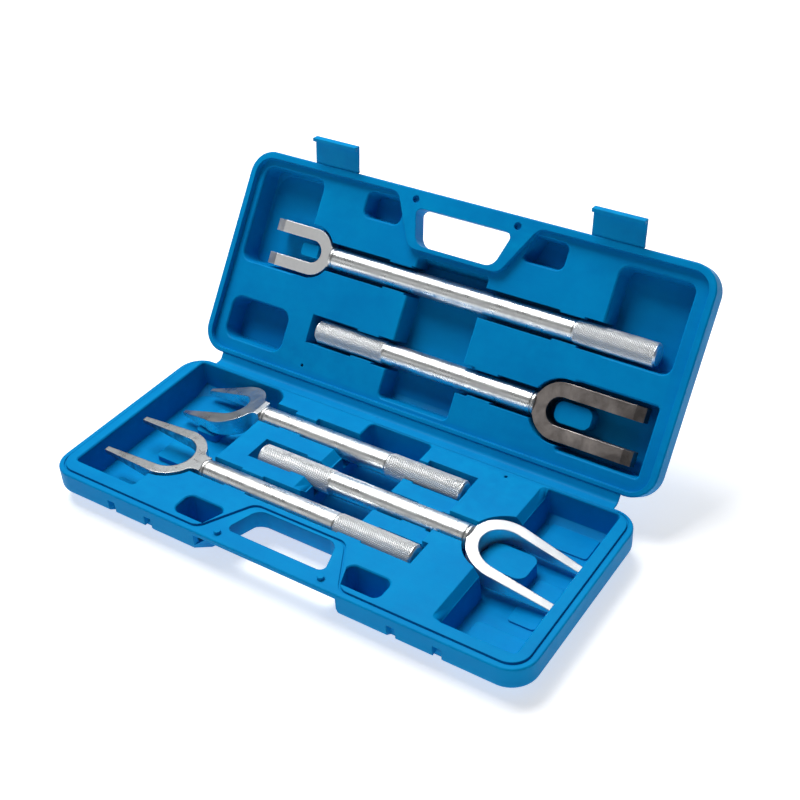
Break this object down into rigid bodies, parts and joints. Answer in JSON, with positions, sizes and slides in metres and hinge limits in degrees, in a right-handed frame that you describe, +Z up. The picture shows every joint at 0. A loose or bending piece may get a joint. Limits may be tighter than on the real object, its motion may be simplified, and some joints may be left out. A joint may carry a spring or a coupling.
{
  "type": "ball joint separator set",
  "caption": "Pickle-fork ball joint separators, each a forged two-tine fork butt-welded to a round bar with a knurled grip, clipped into a hinged blue blow-moulded carry case.",
  "frame": {"origin": "centre of the flat face the case rests on", "axes": "+X along the case, +Z up, -Y towards the grip bar and latches"},
  "size_m": [0.45, 0.3244, 0.2147],
  "materials": {
    "case_plastic": "satin azure blue, fine moulded grain",
    "zinc_bar": "bright zinc plate over drawn bar",
    "zinc_knurl": "fine diamond knurl, zinc plated",
    "zinc_weld": "dressed weld under zinc plate",
    "zinc_head_a": "pale zinc over forged steel",
    "zinc_head_b": "darker zinc over forged steel",
    "zinc_head_c": "zinc over forged steel",
    "zinc_head_d": "mottled zinc over forged steel",
    "zinc_head_e": "bright zinc over forged steel"
  },
  "bodies": {
    "base": {"case_base": "case_plastic", "case_hinge": "case_plastic"},
    "lid": {"case_lid": "case_plastic", "latch_left_hinge": "case_plastic", "latch_right_hinge": "case_plastic"},
    "latch_left": {"latch_left": "case_plastic"},
    "latch_right": {"latch_right": "case_plastic"},
    "fork_a": {"fork_a_head": "zinc_head_a", "fork_a_weld": "zinc_weld", "fork_a_bar": "zinc_bar", "fork_a_grip": "zinc_knurl"},
    "fork_b": {"fork_b_head": "zinc_head_b", "fork_b_weld": "zinc_weld", "fork_b_bar": "zinc_bar", "fork_b_grip": "zinc_knurl"},
    "fork_c": {"fork_c_head": "zinc_head_c", "fork_c_weld": "zinc_weld", "fork_c_bar": "zinc_bar", "fork_c_grip": "zinc_knurl"},
    "fork_d": {"fork_d_head": "zinc_head_d", "fork_d_weld": "zinc_weld", "fork_d_bar": "zinc_bar", "fork_d_grip": "zinc_knurl"},
    "fork_e": {"fork_e_head": "zinc_head_e", "fork_e_weld": "zinc_weld", "fork_e_bar": "zinc_bar", "fork_e_grip": "zinc_knurl"}
  },
  "joints": [
    {"name": "lid_hinge", "type": "hinge", "parent": "base", "child": "lid", "pos_m": [0, 0.1009, 0.03215], "axis": [-1, 0, 0], "range_deg": [-125.7, 54.3], "deforming": ["case_hinge"]},
    {"name": "latch_left_hinge_turn", "type": "hinge", "parent": "lid", "child": "latch_left", "pos_m": [-0.1359, 0.21716, 0.19095], "axis": [-1, 0, 0], "range_deg": [-60, 63], "deforming": ["latch_left_hinge"]},
    {"name": "latch_right_hinge_turn", "type": "hinge", "parent": "lid", "child": "latch_right", "pos_m": [0.1359, 0.21716, 0.19095], "axis": [-1, 0, 0], "range_deg": [-60, 63], "deforming": ["latch_right_hinge"]},
    {"name": "fork_c_lift", "type": "slide", "parent": "base", "child": "fork_c", "axis": [0, 0, 1], "range_m": [0, 0.06]},
    {"name": "fork_d_lift", "type": "slide", "parent": "base", "child": "fork_d", "axis": [0, 0, 1], "range_m": [0, 0.06]},
    {"name": "fork_e_lift", "type": "slide", "parent": "base", "child": "fork_e", "axis": [0, 0, 1], "range_m": [0, 0.06]},
    {"name": "fork_a_lift", "type": "slide", "parent": "lid", "child": "fork_a", "axis": [0, -0.8121, 0.5835], "range_m": [0, 0.06]},
    {"name": "fork_b_lift", "type": "slide", "parent": "lid", "child": "fork_b", "axis": [0, -0.8121, 0.5835], "range_m": [0, 0.06]}
  ]
}
